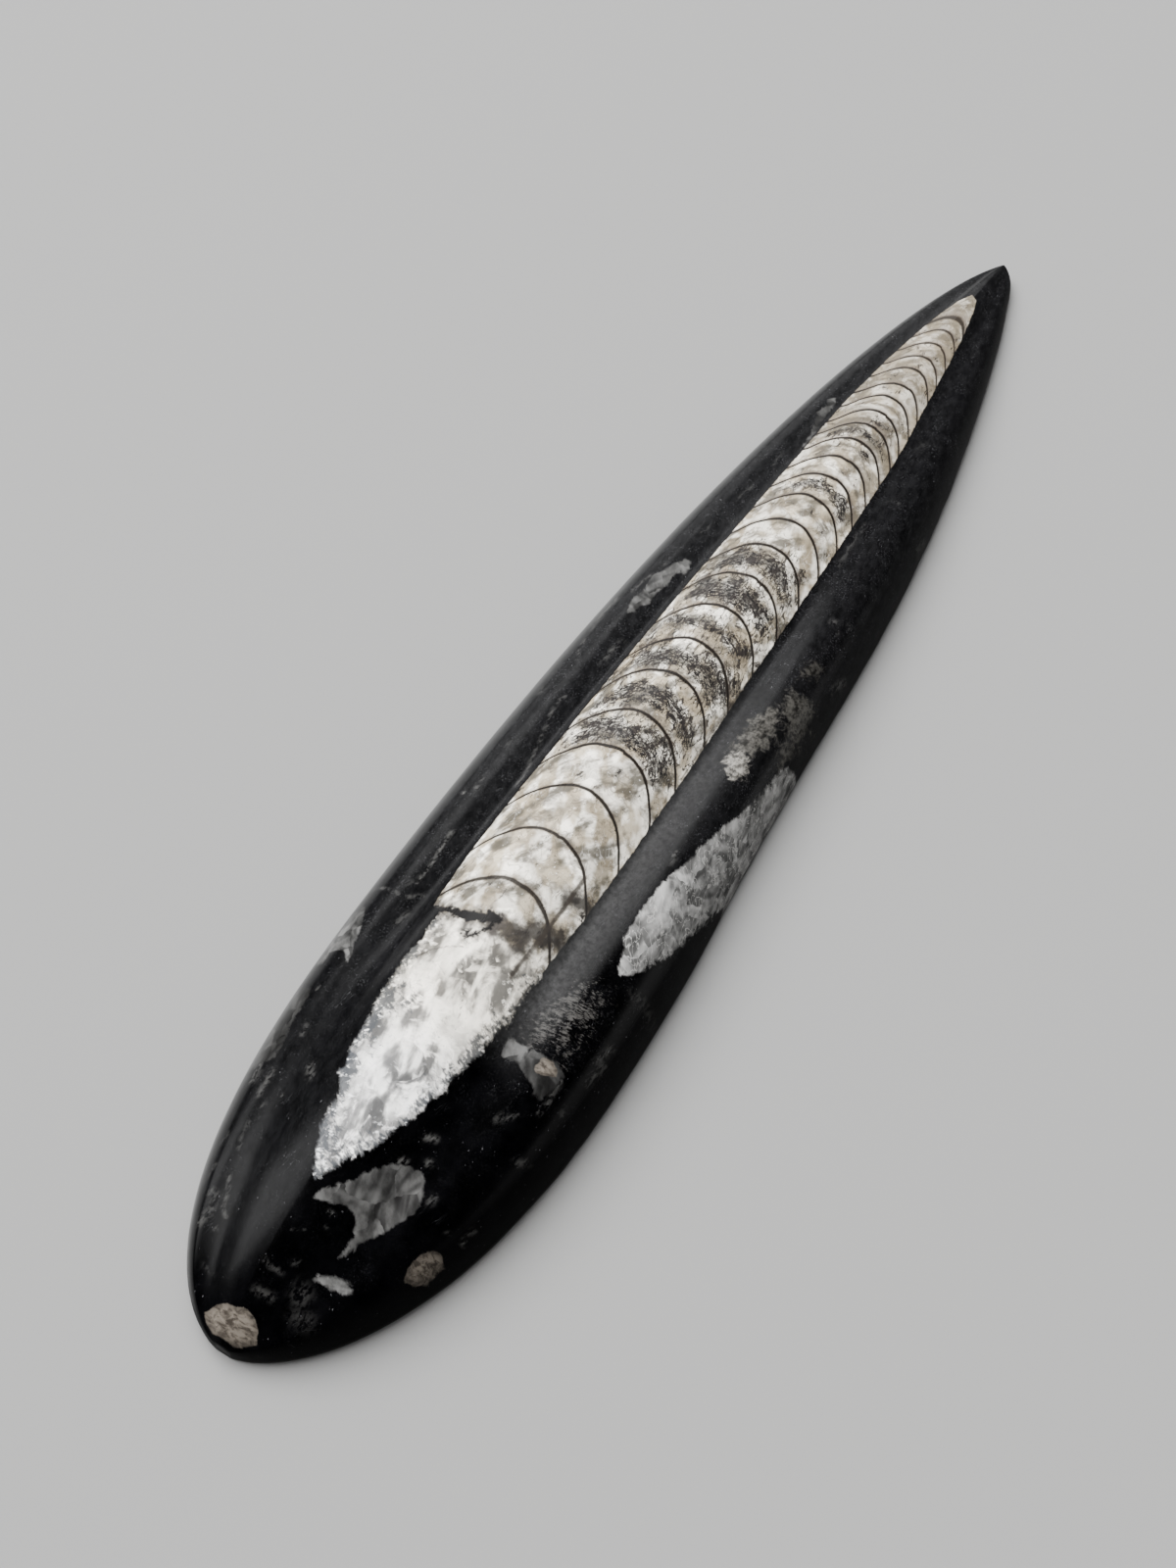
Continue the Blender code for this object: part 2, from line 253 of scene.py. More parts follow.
# The long crack through the shell's right side, and other fine lines, as (half width, points).
CRACKS = (
    (0.26, ((-56.5, -5.4), (-52, -5.6), (-46.6, -5.75), (-42, -5.8), (-37.6, -5.75))),
    (0.1, ((-58, -7.9), (-54, -7.7), (-51, -7), (-48.8, -6))),
    (0.1, ((-15, -7.95), (-6, -7.75), (2, -7.45), (12, -7.15))),
    (0.09, ((-12, -7.8), (-4, -7.35), (5, -7.3))),
    (0.1, ((-66, -3.4), (-63.5, -2.5), (-61.6, -1.5), (-60, -0.3), (-58.4, 0.9))),
    (0.11, ((-60.6, 6.9), (-58.8, 5.4), (-57.6, 3.8), (-56.6, 1.8))),
    (0.14, ((60.6, 8.2), (60.2, 6), (60, 4.4), (60.6, 2.6), (61.3, 1))),
    (0.1, ((-50.2, 6.9), (-48.6, 7), (-47.4, 6.2))),
    (0.09, ((-48.6, 8.2), (-47.8, 7.4), (-47, 7.2))),
    (0.12, ((-48.4, 2), (-47.2, 1.6), (-46, 1.8))),
    (0.1, ((-15.9, 8), (-15.2, 9.4), (-14.4, 10.2))),
    (0.1, ((0.6, 7.4), (0.9, 9), (1.6, 10))),
    (0.1, ((-22.6, -4.4), (-19.6, -5.4), (-17.4, -6.1))),
    (0.09, ((6.2, -1.9), (7.6, -1.8), (8.6, -1.5))),
    (0.09, ((21.4, -3.3), (23, -3.8), (24.6, -3.9), (26.6, -5))),
    (0.09, ((6.4, 3.6), (7.8, 3.2), (8.8, 3.6))),
    (0.1, ((41.9, 0.2), (42.8, 0.6), (44, 1.2))),
    (0.09, ((41.2, 4.3), (42.6, 4.8), (44, 5.4))),
    (0.1, ((24, 8.6), (24, 6.4), (24.5, 4.8))),
    (0.1, ((26, 4.6), (27.2, 5), (28, 5.2))),
)
# Clusters of black dendrites inside the chambers, as (x, y, half length, half width, strength).
DENDRITES = (
    (-15.3, 6.8, 0.9, 1.7, 0.9), (-14.6, 2.3, 1.3, 2.8, 0.9), (-15.8, -5.3, 1, 0.6, 1),
    (-13.4, -2.6, 1.5, 1.6, 0.5), (-16.6, -3.6, 1.2, 0.9, 0.4), (-12.4, -4.6, 0.9, 0.8, 0.6),
    (-12.8, 7, 0.8, 1.2, 0.4), (-7.2, 5.8, 1.1, 1.2, 0.7), (-5.8, 3.6, 0.8, 1.6, 0.8),
    (-6.6, -0.6, 1.5, 1.9, 0.55), (-8.2, -3.9, 0.9, 1.4, 0.65), (-5.4, 0.6, 0.5, 1.6, 0.5),
    (0.8, 4.6, 1, 2.2, 0.9), (1.6, -0.8, 1, 2, 0.7), (2, -5.4, 1.8, 1.2, 1), (3.6, 5.4, 1.8, 0.6, 0.5),
    (3.2, 8, 1.4, 1, 0.4), (4, -2.6, 1.6, 1.6, 0.4), (0.6, 7.6, 0.5, 1.2, 0.5), (8.9, 5.6, 0.7, 1.9, 0.6),
    (9.6, 1, 1.3, 2.2, 0.5), (9.4, -5, 1, 0.6, 0.8), (10, 7.2, 1.4, 0.7, 0.45), (9, -2.6, 1, 1, 0.4),
    (17.4, 5.6, 1.1, 1.8, 1), (17.6, 2.4, 1.3, 1.7, 1), (17, -1, 1.3, 1.9, 1), (16.9, -3.6, 0.8, 1.2, 0.8),
    (19.4, 2.8, 0.9, 0.9, 0.5), (18.6, 7.3, 1, 0.6, 0.7), (15.6, -1.2, 1, 0.7, 0.6),
    (16, 5.2, 0.6, 0.4, 0.5), (19.9, -1.4, 0.9, 0.6, 0.5), (20.4, 1.6, 0.7, 0.4, 0.5),
    (15.2, 1.4, 0.9, 0.6, 0.4), (24.2, 4.4, 0.7, 1.8, 0.8), (25.3, 3, 1.1, 1.2, 0.9),
    (25, 0.4, 0.9, 1.8, 0.8), (24.9, -2.4, 0.8, 1, 0.7), (26.8, -4.6, 1.2, 0.6, 0.7),
    (26.6, 5.2, 1.2, 0.5, 0.5), (44.6, 3, 0.9, 1.1, 0.7), (44.7, -0.4, 0.8, 1.6, 0.7),
    (44.3, -3, 1, 0.8, 0.7), (46.2, 1.5, 0.8, 0.4, 0.5), (59.4, 1.2, 0.8, 1.8, 0.5),
    (55.4, -1, 1, 0.8, 0.5), (62.9, -0.4, 0.6, 1.2, 0.5), (-21.2, -1, 0.9, 0.5, 0.4),
    (-48.4, 7.2, 1.6, 0.9, 0.35), (-46.2, 3.4, 1, 0.8, 0.3),
)
# Bands along the middle of the chambers, by wall number: (place in the chamber, half width, ink, cloud).
BANDS = {
    1: (0.55, 0.25, 0, 0.2), 2: (0.45, 0.25, 0, 0.18), 3: (0.38, 0.24, 0.72, 0.45),
    4: (0.42, 0.2, 0.62, 0.5), 5: (0.42, 0.24, 0.68, 0.35), 6: (0.46, 0.15, 0.38, 0.6),
    7: (0.47, 0.2, 0.95, 0.45), 8: (0.5, 0.24, 0.7, 0.75), 10: (0.5, 0.16, 0, 0.5),
    11: (0.5, 0.24, 0.55, 0.45), 12: (0.45, 0.12, 0, 0.5), 13: (0.5, 0.22, 0.15, 0.65),
    14: (0.45, 0.26, 0.35, 0.65), 15: (0.4, 0.22, 0.1, 0.65), 16: (0.5, 0.26, 0, 0.65),
    17: (0.5, 0.12, 0, 0.2), 18: (0.5, 0.28, 0, 0.6), 19: (0.5, 0.2, 0, 0.35), 20: (0.5, 0.2, 0, 0.4),
    21: (0.5, 0.25, 0, 0.45), 22: (0.5, 0.25, 0, 0.5), 23: (0.6, 0.4, 0, 0.6),
}
INK, CLOUD = 2, 3
# Soft grey-brown clouds in the calcite, like the dendrites.
CLOUDS = (
    (-62.6, 2.2, 1.6, 2.4, 0.35), (-67.6, -2.6, 1.4, 0.7, 0.4), (-58.2, 4.4, 1.2, 1.6, 0.2),
    (-54.4, -1.8, 1, 1.4, 0.15), (-47.8, 5.6, 1.8, 1.8, 0.3), (-30.6, 5.4, 1.8, 1.6, 0.4),
    (-30.4, 1.4, 1.4, 0.9, 0.35), (-28.6, 7.2, 1, 1.2, 0.35), (-40.2, 1, 1, 2.6, 0.2),
    (-36.6, 9.4, 1.4, 1, 0.25), (-24.4, 6, 1.6, 2.4, 0.2), (-23.4, -4.4, 1.8, 1, 0.3),
    (-20.9, -1.2, 0.9, 0.7, 0.4), (-14.6, 2, 1.8, 4, 0.35), (-7, 1, 1.8, 5, 0.35), (1.8, 0, 2, 6, 0.3),
    (9.6, 0.6, 1.4, 3.4, 0.55), (17.8, 1.5, 1.7, 5.4, 0.5), (26, 1.4, 1.9, 3.6, 0.75),
    (38.4, 3.2, 0.8, 1.6, 0.7), (38.6, -3.3, 1.4, 0.8, 0.7), (37.9, 0.2, 0.5, 3, 0.25),
    (44.8, -0.2, 1.3, 4, 0.5), (49.6, 0.5, 0.5, 3, 0.35), (54.6, 1.6, 0.9, 2.2, 0.5),
    (55.1, -1.1, 1.2, 0.8, 0.6), (59.4, 1.4, 0.9, 1.8, 0.7), (62.8, 0, 0.6, 2.2, 0.7),
    (67.5, 2, 0.7, 3.4, 0.6), (76, 1.8, 1.2, 2.6, 0.5), (84, 1, 1, 2.5, 0.3), (94.5, 1.6, 1, 1.4, 0.4),
    (97.5, 2, 0.8, 1.6, 0.5),
)
# Cool glassy patches in the open chamber's calcite.
GLASSY = (
    (-68.2, 6.2, 2.2, 1.4, 1), (-67.2, 3.6, 1.8, 1.2, 0.7), (-78.2, 4.8, 1.6, 1, 1),
    (-87.6, 2.4, 2.4, 1.2, 0.8), (-72.4, 5.6, 1.2, 1.4, 0.5), (-60.6, 7.4, 1.4, 0.7, 0.5),
    (-74.6, -4.2, 2, 1, 0.4), (-66, -6.9, 3.6, 0.8, 0.6), (-86, -1.6, 2.4, 0.9, 0.5),
    (-81, 4.4, 1.5, 0.8, 0.7),
)
# Cloud of short pale fibres low on the right side.
FIBRES = (
    (-60, -12.4, 2.4, 2.6, 0.55), (-55.6, -13, 3.4, 1.6, 1), (-57.4, -16.4, 4.4, 1.8, 0.6),
    (-51.6, -16, 3.2, 1.8, 0.6), (-62.4, -17.4, 1.2, 0.9, 0.3),
)

FLOOR_RADIUS = 3.6
FLOOR_SIDES = 96
FLOOR_COLOUR = (0.205, 0.205, 0.2028, 1.0)
# Lights as (name, azimuth, elevation, distance, size, power, whether polished faces mirror it), in degrees.
SOFTBOXES = (
    ("window", 46, 50, 1.3, (0.60, 0.60), 2.5, True),
    ("side window", 113, 42, 1.3, (0.60, 0.95), 4.5, True),
    ("far wall", 38, 20, 1.6, (1.5, 0.8), 3.5, True),
    ("overhead", 62, 62, 1.2, (1.4, 1.4), 34.0, False),
)
DAYLIGHT = (75, 60)             # azimuth and elevation
DAYLIGHT_POWER = 6.0
DAYLIGHT_SPREAD = 50
SKY_STRENGTH = 0.56
EYE = (-0.168035, -0.086724, 0.276289)
GAZE = (31.69, -57.0)           # azimuth and elevation
LENS, SENSOR = 49.93, 36.0      # both in millimetres


def swell(share, least, greatest, place, rise, fall):
    """A width or height that grows from one end to its greatest at `place` and falls to the other end."""
    near = np.clip(1 - share / place, 0, 1)
    far = np.clip((share - place) / (1 - place), 0, 1)
    up = np.maximum(1 - near ** rise[0], 0) ** rise[1]
    down = np.maximum(1 - far ** fall[0], 0) ** fall[1]
    return least + (greatest - least) * np.where(share < place, up, down)


def step(low, high, value):
    """0 below `low`, 1 above `high`, with a smooth change between."""
    t = np.clip((value - low) / (high - low), 0, 1)
    return t * t * (3 - 2 * t)


def left_half_width(share):
    return swell(share, *LEFT)


def right_half_width(share):
    wave = WAVER * np.sin(2 * np.pi * (share - WAVER_START) / WAVER_LENGTH)
    return swell(share, *RIGHT) - wave * step(0.30, 0.40, share) * (1 - step(0.96, 1.0, share))


def ridge_half_width(share):
    """Half width of the rounded ridge that the shell lies in."""
    cone = RIDGE * np.maximum(1 - share ** RIDGE_TAPER[0], 0) ** RIDGE_TAPER[1]
    room = RIDGE_OF_SIDE * np.minimum(left_half_width(share), right_half_width(share))
    return np.maximum(cone * room / np.maximum(cone ** 4 + room ** 4, 1e-12) ** 0.25, 1e-4)


def surface_height(share, half_width, across):
    """Height of the ground top: a round ridge, a shallow flute along it, and a shoulder down to the rim."""
    crest = swell(share, *CREST)
    foot = ridge_half_width(share)
    radius = ARCH_RADIUS * foot
    arch = np.minimum(across, ARCH_SPAN * radius)
    arch_rise = np.sqrt(radius * radius - arch * arch)
    ridge = crest - (radius - arch_rise) - (across - arch) * arch / arch_rise
    top = RIM_HEIGHT + (crest - RIM_HEIGHT) * SHOULDER_HEIGHT
    place = foot + (half_width - foot) * SHOULDER_PLACE
    down = np.clip((place - across) / np.maximum(place - foot, 1e-6), 0, 1)
    out = np.clip((across - place) / np.maximum(half_width - place, 1e-6), 0, 1)
    flute = FLUTE_DEPTH * step(0.16, 0.30, share) * (1 - step(0.52, 0.68, share))
    inner = top - flute * down ** FLUTE_SWEEP
    fall = np.maximum(1 - out ** SHOULDER_ROUND[0], 0) ** SHOULDER_ROUND[1]
    outer = RIM_HEIGHT + (top - RIM_HEIGHT) * fall
    shoulder = np.where(across < place, inner, outer)
    high = np.maximum(ridge, shoulder)
    low = np.minimum(ridge, shoulder)
    soft = BLEND + BLUNT_BLEND * step(0.03, 0.10, share) * (1 - step(0.20, 0.32, share))
    return high + soft * np.log1p(np.exp((low - high) / soft))


def ripples(u, v, size, seed):
    """Smooth random relief from -1 to 1 with bumps about `size` millimetres across."""
    lattice = np.random.default_rng(seed).uniform(-1, 1, (RIPPLE_CELLS + 1, RIPPLE_CELLS + 1))
    u, v = u / size, v / size
    i, j = np.floor(u), np.floor(v)
    s, t = u - i, v - j
    s, t = s * s * (3 - 2 * s), t * t * (3 - 2 * t)
    i, j = i.astype(int) % RIPPLE_CELLS, j.astype(int) % RIPPLE_CELLS
    low = lattice[i, j] * (1 - s) + lattice[i + 1, j] * s
    high = lattice[i, j + 1] * (1 - s) + lattice[i + 1, j + 1] * s
    return low * (1 - t) + high * t


def to_segments(x, y, points):
    """Distance in millimetres from each place to a line through `points`."""
    best = np.full(x.shape, 1e9)
    for (x0, y0), (x1, y1) in zip(points[:-1], points[1:]):
        dx, dy = x1 - x0, y1 - y0
        along = np.clip(((x - x0) * dx + (y - y0) * dy) / (dx * dx + dy * dy), 0, 1)
        best = np.minimum(best, np.hypot(x - x0 - along * dx, y - y0 - along * dy))
    return best


def inside(x, y, outline):
    """Distance to a closed outline, positive inside it and negative outside."""
    within = np.zeros(x.shape, bool)
    for (x0, y0), (x1, y1) in zip(outline, outline[1:] + outline[:1]):
        if y0 != y1:
            crosses = (y0 > y) != (y1 > y)
            within ^= crosses & (x < (x1 - x0) * (y - y0) / (y1 - y0) + x0)
    distance = to_segments(x, y, outline + outline[:1])
    return np.where(within, distance, -distance)


def cover(depths, tones):
    """The greatest depth inside any of the shapes, and the brightness of the shape it belongs to."""
    depth = np.full(depths[0].shape, -9.0)
    weight = np.full(depth.shape, 1e-9)
    tone = np.zeros(depth.shape)
    for shape_depth, brightness in zip(depths, tones):
        depth = np.maximum(depth, shape_depth)
        share = np.exp(np.clip(shape_depth, -6, 1) / 0.25)
        weight += share
        tone += share * brightness
    return depth, tone / weight


def patches(x, y, shapes):
    """Depth inside the patches and the brightness there."""
    return cover([inside(x, y, outline) for tone, outline in shapes], [tone for tone, outline in shapes])


def strokes(x, y, drawn):
    """Depth inside the nearest of the lines drawn with a half width each."""
    return cover([half - to_segments(x, y, line) for half, line in drawn], [0] * len(drawn))[0]


def spots(x, y, places):
    """Soft spots summed up to a greatest strength of 1.2."""
    total = np.zeros(x.shape)
    for cx, cy, length, width, strength in places:
        total += strength * np.exp(-((x - cx) / (1.25 * length)) ** 2 - ((y - cy) / (1.25 * width)) ** 2)
    return np.minimum(total, 1.2)


def shell_edge(x, side):
    """Half width of the chambered shell on one side of the crest line."""
    pairs = sorted((px, abs(py - AXIS)) for px, py in SHELL if px > CHAMBERED_FROM and (py - AXIS) * side > 0)
    return np.interp(x, [pair[0] for pair in pairs], [pair[1] for pair in pairs])


def chambers(x, y):
    """How many chamber walls lie behind each place, counted along their curve, a chamber's length there, and
    x with that curve taken out of it."""
    q = y - AXIS
    reach = shell_edge(x, 1)
    left, right = q / reach, -q / shell_edge(x, -1)
    sag_left = LEFT_SAG[0] * np.clip(left, 0, 1.3) ** LEFT_SAG[1]
    sag_right = RIGHT_SAG[0] * np.clip(right, 0, 1.3) ** RIGHT_SAG[1]
    sag = np.where(q > 0, sag_left, sag_right)
    wobble = 0.16 * ripples(x, y, 2.6, 3) + 0.07 * ripples(x, y, 0.9, 4)
    phase = x + sag * reach + wobble
    curved = x + np.minimum(sag, 1.4) * reach
    walls = np.array(SEPTA)
    lengths = np.diff(walls)
    before, after = walls[0] - END_CHAMBER, walls[-1] + END_CHAMBER
    count = np.interp(phase, np.concatenate([[before], walls, [after]]), np.arange(-1.0, len(walls) + 1))
    middles = 0.5 * (walls[1:] + walls[:-1])
    return count, np.interp(phase, middles, lengths), curved


def bands(x, y, count, column):
    """Strength of the mid-chamber bands, fading near the shell's edges."""
    q = y - AXIS
    off = np.where(q > 0, q / shell_edge(x, 1), -q / shell_edge(x, -1))
    total = np.zeros(x.shape)
    for wall, band in BANDS.items():
        total += band[column] * np.exp(-((count - wall - band[0]) / band[1]) ** 2)
    return total * (1 - step(0.55, 0.98, off)) * step(-46, -40, x)


def stone_rings():
    """Closed rings of points round the stone, one for each station."""
    even = np.linspace(0, 1, STATIONS)
    crowded = 0.5 * (1 - np.cos(np.pi * even))
    share = END_MARGIN + (1 - 2 * END_MARGIN) * (even + (crowded - even) * END_CROWDING)
    side = np.linspace(1, -1, ACROSS)
    side = (1 - SIDE_CROWDING) * side + SIDE_CROWDING * np.sin(side * np.pi / 2)
    grid_share, grid_side = np.meshgrid(share, side, indexing="ij")
    left, right = left_half_width(share), right_half_width(share)
    half_width = np.where(grid_side > 0, left_half_width(grid_share), right_half_width(grid_share))
    across = np.abs(grid_side) * half_width
    x = (grid_share - 0.5) * LENGTH / (1 - 2 * END_MARGIN)
    y = AXIS + grid_side * half_width
    z = surface_height(grid_share, half_width, across)
    rows = [np.stack([x, y, z], -1)]
    length = x[:, 0]
    chips = CHIPS * (1 + ripples(length, length * 0.7, CHIP_SIZE, 21)) * np.minimum(left, 1)

    def row(across_place, height):
        return np.stack([length, AXIS + across_place, np.broadcast_to(height, length.shape)], -1)[:, None, :]

    for height in WALL_HEIGHTS:
        rows.append(row(-(right - chips * (RIM_HEIGHT - height) / RIM_HEIGHT), height))
    reach_left, reach_right = (np.maximum(width - BASE_CHAMFER, 0.5 * width) for width in (left, right))
    for place in np.linspace(-1, 1, BASE_POINTS):
        rows.append(row(place * np.where(place > 0, reach_left, reach_right), 0.0))
    for height in reversed(WALL_HEIGHTS):
        rows.append(row(left - chips * (RIM_HEIGHT - height) / RIM_HEIGHT, height))
    return np.concatenate(rows, axis=1)


def polish_relief(rings):
    """Hand-ground waviness of the top, and chamber walls worn a little below the calcite."""
    top = rings[:, :ACROSS]
    x, y = top[..., 0], top[..., 1]
    count, pitch = chambers(x, y)[:2]
    line = np.abs(count - np.round(count)) * pitch
    on_shell = step(-0.1, 0.3, inside(x, y, SHELL)) * step(CHAMBERED_FROM, -51.0, x)
    groove = GROOVE * np.exp(-(line / GROOVE_HALF_WIDTH) ** 2) * on_shell
    groove = groove * step(-50.0, -46.0, x) * (1 - step(80.0, 92.0, x))
    waves = BROAD_WAVE * (1 + ripples(x, y, BROAD_WAVE_SIZE, 5))
    waves += FINE_WAVE * (1 + ripples(x * 0.5, y, FINE_WAVE_SIZE, 6))
    rings[:, :ACROSS, 2] -= (waves + groove) * step(0, 3, top[..., 2] - RIM_HEIGHT * 0.5)
    return rings


def build_mesh(rings):
    """One closed skin through the rings, with a flat cap at each end."""
    stations, around = rings.shape[:2]
    i = np.arange(stations - 1)[:, None]
    j = np.arange(around)[None, :]
    k = (j + 1) % around
    quads = np.stack([i * around + j, i * around + k, (i + 1) * around + k, (i + 1) * around + j], -1)
    faces = quads.reshape(-1, 4).tolist()
    faces.append(list(range(around))[::-1])
    faces.append(list(range((stations - 1) * around, stations * around)))
    mesh = bpy.data.meshes.new("polished_stone")
    mesh.from_pydata((rings.reshape(-1, 3) * MM).tolist(), [], faces)
    mesh.update()
    mesh.shade_smooth()
    return mesh


def bake_map(mesh, rings):
    """A map without overlaps: the top and sides in four strips, the base and the two ends beside them."""
    stations, around = rings.shape[:2]
    walls = len(WALL_HEIGHTS)
    skin = np.r_[around - walls:around, 0:ACROSS + walls]
    steps = np.linalg.norm(np.diff(rings[:, skin], axis=1), axis=2)
    along = np.concatenate([np.zeros((stations, 1)), np.cumsum(steps, axis=1)], axis=1)
    crest = walls + ACROSS // 2
    reach = np.zeros((stations, around))
    reach[:, skin] = along[:, crest:crest + 1] - along
    length = rings[:, 0, 0]
    here = np.arange(around)
    after = (here + 1) % around

    def corners(values):
        return np.stack([values[:-1, here], values[:-1, after], values[1:, after], values[1:, here]], -1)

    x = corners(np.repeat(length[:, None], around, axis=1))
    strip_length = LENGTH / STRIPS
    strip = np.clip((x.mean(-1, keepdims=True) + LENGTH / 2) // strip_length, 0, STRIPS - 1)
    x = x - (strip * strip_length - LENGTH / 2)
    on_skin = ((here < ACROSS + walls - 1) | (here >= around - walls))[None, :, None]
    u_skin = MAP_GAP + (strip % 2) * (strip_length + MAP_GAP) + x
    v_skin = MAP_GAP + (strip // 2) * (STRIP_WIDTH + MAP_GAP) + STRIP_WIDTH / 2 + corners(reach)
    aside = 2 * (strip_length + MAP_GAP) + MAP_GAP
    u_base = aside + BASE_SCALE * (corners(rings[..., 1]) + BASE_WIDTH / 2)
    v_base = MAP_GAP + strip * (BASE_SCALE * strip_length + MAP_GAP) + BASE_SCALE * x
    uv = np.stack([np.where(on_skin, u_skin, u_base), np.where(on_skin, v_skin, v_base)], -1).reshape(-1, 2)
    above = STRIPS * (BASE_SCALE * strip_length + MAP_GAP) + 2 * MAP_GAP
    for ring, shift in ((rings[0, ::-1], 0), (rings[-1], BASE_SCALE * BASE_WIDTH / 2)):
        end = np.stack([aside + shift + ring[:, 1] - ring[:, 1].min(), above + ring[:, 2]], -1)
        uv = np.concatenate([uv, end])
    layer = mesh.uv_layers.new(name="OFBake")
    layer.data.foreach_set("uv", (uv / MAP_SIDE).astype(np.float32).ravel())


def write_fields(mesh, rings):
    """Smooth maps of where each mineral lies, read by the stone's material."""
    x, y, z = rings[..., 0], rings[..., 1], rings[..., 2]
    on_left = y > AXIS
    count, pitch, arc = chambers(x, y)
    fields = {"count": count, "pitch": pitch, "arc": arc, "shell": inside(x, y, SHELL)}
    fields["chambered"] = step(CHAMBERED_FROM - 0.2, -52.4, x)
    fields["warm"] = step(-78, -62, x)
    fields["dendrite"] = np.maximum(spots(x, y, DENDRITES), bands(x, y, count, INK))
    fields["cloud"] = np.maximum(spots(x, y, CLOUDS), bands(x, y, count, CLOUD))
    threads = 0.42 * step(2.8, 3.4, count) * (1 - step(9.0, 9.6, count))
    fields["thready"] = threads + 0.12 * step(9.5, 12, count)
    fields["glassy"] = spots(x, y, GLASSY)
    fields["black"] = strokes(x, y, BLACK_VEINS)
    fields["brown"] = strokes(x, y, BROWN_VEINS)
    fields["crack"] = strokes(x, y, CRACKS)

    fields["grey"], fields["grey_tone"] = patches(x, y, GREY_PATCHES)
    fields["rubble"], fields["rubble_tone"] = patches(x, y, RUBBLE)
    fields["tan"] = patches(x, y, [(0, outline) for outline in TAN_PATCHES])[0]
    fields["fibre"] = spots(x, y, FIBRES)
    wisp = np.zeros(x.shape)
    for tone, half, line in SLIVERS:
        wisp = np.maximum(wisp, tone * np.exp(-(to_segments(x, y, line) / (1.1 * half)) ** 2))
    fields["wisp"] = wisp

    # The finish: the sawn base, the matt right flute, the dull band above the rim, and the grey flanks. The
    # right flute's lighter grey and the flanks' grey are painted sheen.
    fields["under"] = 1 - step(0.2, 1.4, z)
    in_flute = step(5.0, 7.0, AXIS - y) * (1 - step(10.5, 17.0, AXIS - y))
    fields["satin"] = step(-70, -52, x) * (1 - step(-20, 22, x)) * in_flute
    fields["band"] = np.where(on_left, 1 - step(1.8, 7.0, z), 1 - step(5.0, 13.5, z))
    left_sheen = step(-112, -96, x) * (0.34 + 0.36 * step(-70, -20, x))
    fields["dusty"] = np.where(on_left, left_sheen, 0.55 * step(-52, -14, x))
    for name, values in fields.items():
        layer = mesh.attributes.new(name, "FLOAT", "POINT")
        layer.data.foreach_set("value", np.ascontiguousarray(values, dtype=np.float32).ravel())


class Number:
    """One value in the stone's material, so that it can be used in sums."""

    def __init__(self, socket):
        self.socket = socket

    def __add__(self, other):
        return calculate("ADD", self, other)

    def __sub__(self, other):
        return calculate("SUBTRACT", self, other)

    def __mul__(self, other):
        return calculate("MULTIPLY", self, other)

    def __rsub__(self, other):
        return calculate("SUBTRACT", other, self)

    __radd__ = __add__
    __rmul__ = __mul__


STONE = bpy.data.materials.new("fossil_limestone")
STONE.use_nodes = True
TREE = STONE.node_tree
SHADER = TREE.nodes["Principled BSDF"]


def feed(slot, part):
    """Link a Number to a socket, or set a plain number or an (r, g, b) colour on it."""
    if isinstance(part, Number):
        TREE.links.new(part.socket, slot)
    elif isinstance(part, tuple):
        slot.default_value = (*part, 1.0)
    else:
        slot.default_value = part


def calculate(operation, *parts):
    node = TREE.nodes.new("ShaderNodeMath")
    node.operation = operation
    for slot, part in zip(node.inputs, parts):
        feed(slot, part)
    return Number(node.outputs[0])


def greater(first, second):
    return calculate("MAXIMUM", first, second)


def lesser(first, second):
    return calculate("MINIMUM", first, second)


def field(name):
    node = TREE.nodes.new("ShaderNodeAttribute")
    node.attribute_name = name
    return Number(node.outputs["Fac"])


def ramp(value, low, high, first=0.0, last=1.0):
    """A smooth change from `first` to `last` as the value goes from `low` to `high`."""
    node = TREE.nodes.new("ShaderNodeMapRange")
    node.interpolation_type = "SMOOTHSTEP"
    names = ("Value", "From Min", "From Max", "To Min", "To Max")
    for name, part in zip(names, (value, low, high, first, last)):
        feed(node.inputs[name], part)
    return Number(node.outputs["Result"])


# The mix node's colour sockets, whose names it shares with its number sockets.
COLOUR_A, COLOUR_B, COLOUR_RESULT = 6, 7, 2


def blend(amount, first, second, mode="MIX"):
    node = TREE.nodes.new("ShaderNodeMix")
    node.data_type = "RGBA"
    node.blend_type = mode
    feed(node.inputs["Factor"], amount)
    feed(node.inputs[COLOUR_A], first)
    feed(node.inputs[COLOUR_B], second)
    return Number(node.outputs[COLOUR_RESULT])


def tinted(tone, green, blue):
    """A colour whose red is `tone`, and whose green and blue are these shares of it."""
    node = TREE.nodes.new("ShaderNodeCombineColor")
    for slot, part in zip(node.inputs, (tone, tone * green, tone * blue)):
        feed(slot, part)
    return Number(node.outputs[0])


def place(stretch=(1, 1), turn=0.0, shift=0.0):
    """The surface's own position in millimetres, stretched along and across and turned about the vertical."""
    coordinates = TREE.nodes.new("ShaderNodeTexCoord")
    node = TREE.nodes.new("ShaderNodeMapping")
    node.vector_type = "TEXTURE"
    TREE.links.new(coordinates.outputs["Object"], node.inputs["Vector"])
    node.inputs["Location"].default_value = (shift, shift, 0)
    node.inputs["Rotation"].default_value = (0, 0, math.radians(turn))
    node.inputs["Scale"].default_value = (MM * stretch[0], MM * stretch[1], MM)
    return node.outputs["Vector"]


